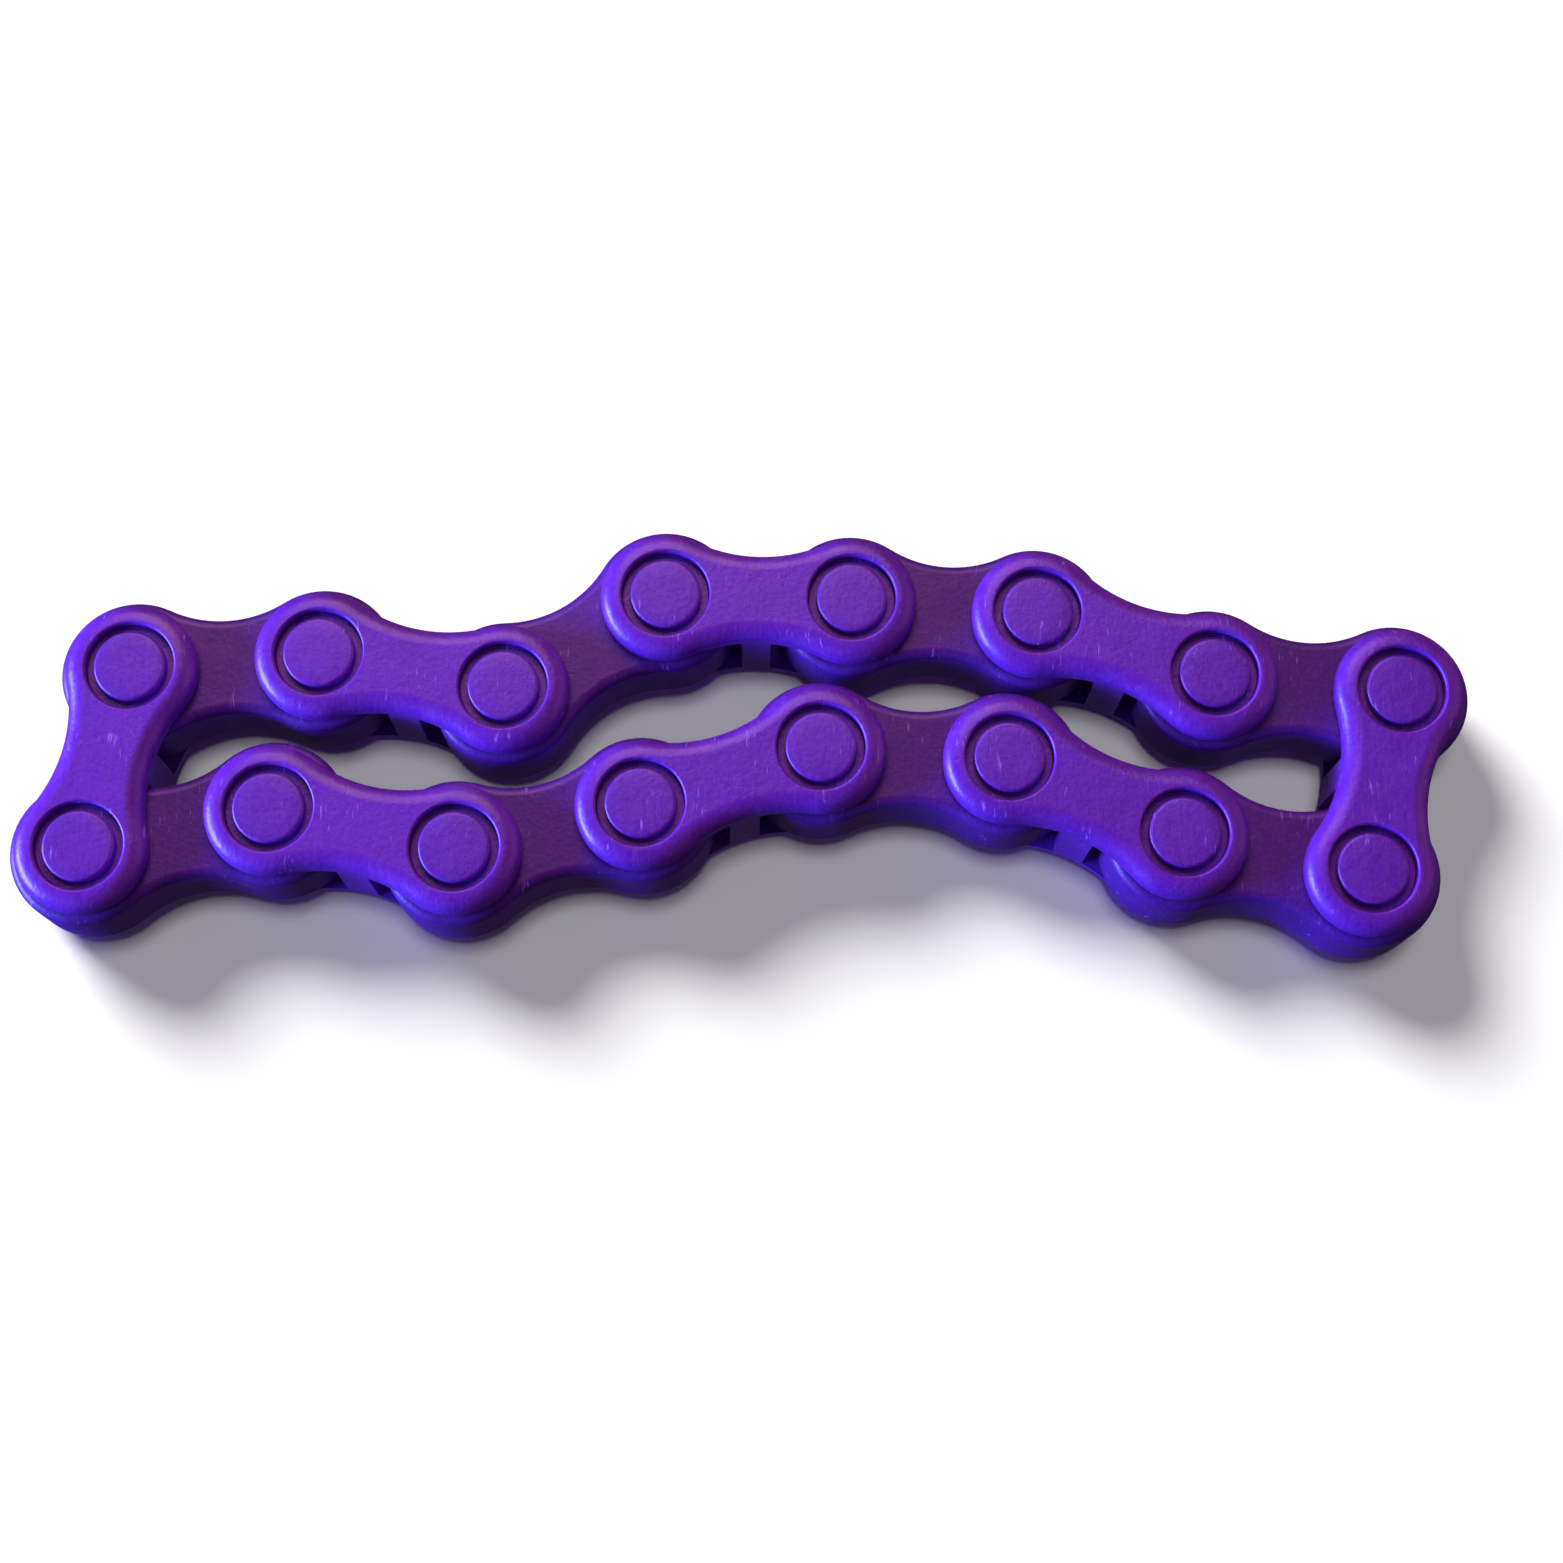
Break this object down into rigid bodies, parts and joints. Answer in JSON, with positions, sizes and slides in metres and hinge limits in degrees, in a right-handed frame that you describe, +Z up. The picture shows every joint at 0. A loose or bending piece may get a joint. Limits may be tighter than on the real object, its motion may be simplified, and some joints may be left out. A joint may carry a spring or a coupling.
{
  "type": "chain link fidget puzzle",
  "caption": "Closed ring of moulded plastic chain links for twisting and folding in the hand: forked outer links alternate with round-ended inner links, joined by headed pivot pins.",
  "frame": {"origin": "on the surface that the ring lies on, under the middle of its bounding box", "axes": "+Z up, along every pivot; +X along the ring's long direction; +Y across the two rows"},
  "size_m": [0.1242, 0.0364, 0.0106],
  "materials": {
    "outer_link": "satin moulded purple plastic with faint scuffs",
    "inner_link": "satin moulded purple plastic",
    "pivot_pin": "satin moulded purple plastic with faint scuffs"
  },
  "bodies": {
    "outer_link_1": {"outer_link_1": "outer_link", "pivot_pin_1": "pivot_pin", "pivot_pin_2": "pivot_pin"},
    "inner_link_1": {"inner_link_1": "inner_link"},
    "outer_link_2": {"outer_link_2": "outer_link", "pivot_pin_3": "pivot_pin", "pivot_pin_4": "pivot_pin"},
    "inner_link_2": {"inner_link_2": "inner_link"},
    "outer_link_3": {"outer_link_3": "outer_link", "pivot_pin_5": "pivot_pin", "pivot_pin_6": "pivot_pin"},
    "inner_link_3": {"inner_link_3": "inner_link"},
    "outer_link_4": {"outer_link_4": "outer_link", "pivot_pin_7": "pivot_pin", "pivot_pin_8": "pivot_pin"},
    "inner_link_4": {"inner_link_4": "inner_link"},
    "outer_link_5": {"outer_link_5": "outer_link", "pivot_pin_9": "pivot_pin", "pivot_pin_10": "pivot_pin"},
    "inner_link_5": {"inner_link_5": "inner_link"},
    "outer_link_6": {"outer_link_6": "outer_link", "pivot_pin_11": "pivot_pin", "pivot_pin_12": "pivot_pin"},
    "inner_link_6": {"inner_link_6": "inner_link"},
    "outer_link_7": {"outer_link_7": "outer_link", "pivot_pin_13": "pivot_pin", "pivot_pin_14": "pivot_pin"},
    "inner_link_7": {"inner_link_7": "inner_link"},
    "outer_link_8": {"outer_link_8": "outer_link", "pivot_pin_15": "pivot_pin", "pivot_pin_16": "pivot_pin"},
    "inner_link_8": {"inner_link_8": "inner_link"}
  },
  "joints": [
    {"name": "pivot_1", "type": "hinge", "parent": "outer_link_1", "child": "inner_link_8", "pos_m": [-0.05256, 0.00531, 0.0053], "axis": [0, 0, 1], "range_deg": [-41.6, 188.4]},
    {"name": "pivot_2", "type": "hinge", "parent": "inner_link_1", "child": "outer_link_1", "pos_m": [-0.05589, -0.01034, 0.0053], "axis": [0, 0, 1], "range_deg": [0, 15]},
    {"name": "pivot_3", "type": "hinge", "parent": "outer_link_2", "child": "inner_link_1", "pos_m": [-0.04024, -0.00701, 0.0053], "axis": [0, 0, 1], "range_deg": [-139, 91]},
    {"name": "pivot_4", "type": "hinge", "parent": "inner_link_2", "child": "outer_link_2", "pos_m": [-0.02459, -0.01034, 0.0053], "axis": [0, 0, 1], "range_deg": [-25, 30]},
    {"name": "pivot_5", "type": "hinge", "parent": "inner_link_2", "child": "outer_link_3", "pos_m": [-0.00906, -0.00647, 0.0053], "axis": [0, 0, 1], "range_deg": [-10, 10]},
    {"name": "pivot_6", "type": "hinge", "parent": "outer_link_3", "child": "inner_link_3", "pos_m": [0.00615, -0.00152, 0.0053], "axis": [0, 0, 1], "range_deg": [-94, 136]},
    {"name": "pivot_7", "type": "hinge", "parent": "inner_link_3", "child": "outer_link_4", "pos_m": [0.02213, -0.00236, 0.0053], "axis": [0, 0, 1], "range_deg": [-10, 40]},
    {"name": "pivot_8", "type": "hinge", "parent": "outer_link_4", "child": "inner_link_4", "pos_m": [0.03675, -0.00887, 0.0053], "axis": [0, 0, 1], "range_deg": [-128, 102]},
    {"name": "pivot_9", "type": "hinge", "parent": "inner_link_4", "child": "outer_link_5", "pos_m": [0.05245, -0.01192, 0.0053], "axis": [0, 0, 1], "range_deg": [-204, 26]},
    {"name": "pivot_10", "type": "hinge", "parent": "outer_link_5", "child": "inner_link_5", "pos_m": [0.05578, 0.00373, 0.0053], "axis": [0, 0, 1], "range_deg": [-212, 18]},
    {"name": "pivot_11", "type": "hinge", "parent": "inner_link_5", "child": "outer_link_6", "pos_m": [0.03984, 0.00512, 0.0053], "axis": [0, 0, 1], "range_deg": [-100, 130]},
    {"name": "pivot_12", "type": "hinge", "parent": "outer_link_6", "child": "inner_link_6", "pos_m": [0.02481, 0.0106, 0.0053], "axis": [0, 0, 1], "range_deg": [-131, 99]},
    {"name": "pivot_14", "type": "hinge", "parent": "inner_link_7", "child": "outer_link_7", "pos_m": [-0.00715, 0.01199, 0.0053], "axis": [0, 0, 1], "range_deg": [-83, 147]},
    {"name": "pivot_15", "type": "hinge", "parent": "outer_link_8", "child": "inner_link_7", "pos_m": [-0.02087, 0.00375, 0.0053], "axis": [0, 0, 1], "range_deg": [-156.2, 73.8]},
    {"name": "pivot_16", "type": "hinge", "parent": "inner_link_8", "child": "outer_link_8", "pos_m": [-0.03661, 0.00659, 0.0053], "axis": [0, 0, 1], "range_deg": [-100.2, 129.8]}
  ],
  "couplings": [
    {"joint": "pivot_1", "follows": "pivot_2", "ratio": -1},
    {"joint": "pivot_3", "follows": "pivot_4", "ratio": -1},
    {"joint": "pivot_6", "follows": "pivot_5", "ratio": -1},
    {"joint": "pivot_8", "follows": "pivot_7", "ratio": -1},
    {"joint": "pivot_9", "follows": "pivot_2", "ratio": 1},
    {"joint": "pivot_10", "follows": "pivot_2", "ratio": -1},
    {"joint": "pivot_11", "follows": "pivot_7", "ratio": 1},
    {"joint": "pivot_12", "follows": "pivot_7", "ratio": -1},
    {"joint": "pivot_14", "follows": "pivot_5", "ratio": 1},
    {"joint": "pivot_15", "follows": "pivot_4", "ratio": -1},
    {"joint": "pivot_16", "follows": "pivot_4", "ratio": 1}
  ]
}
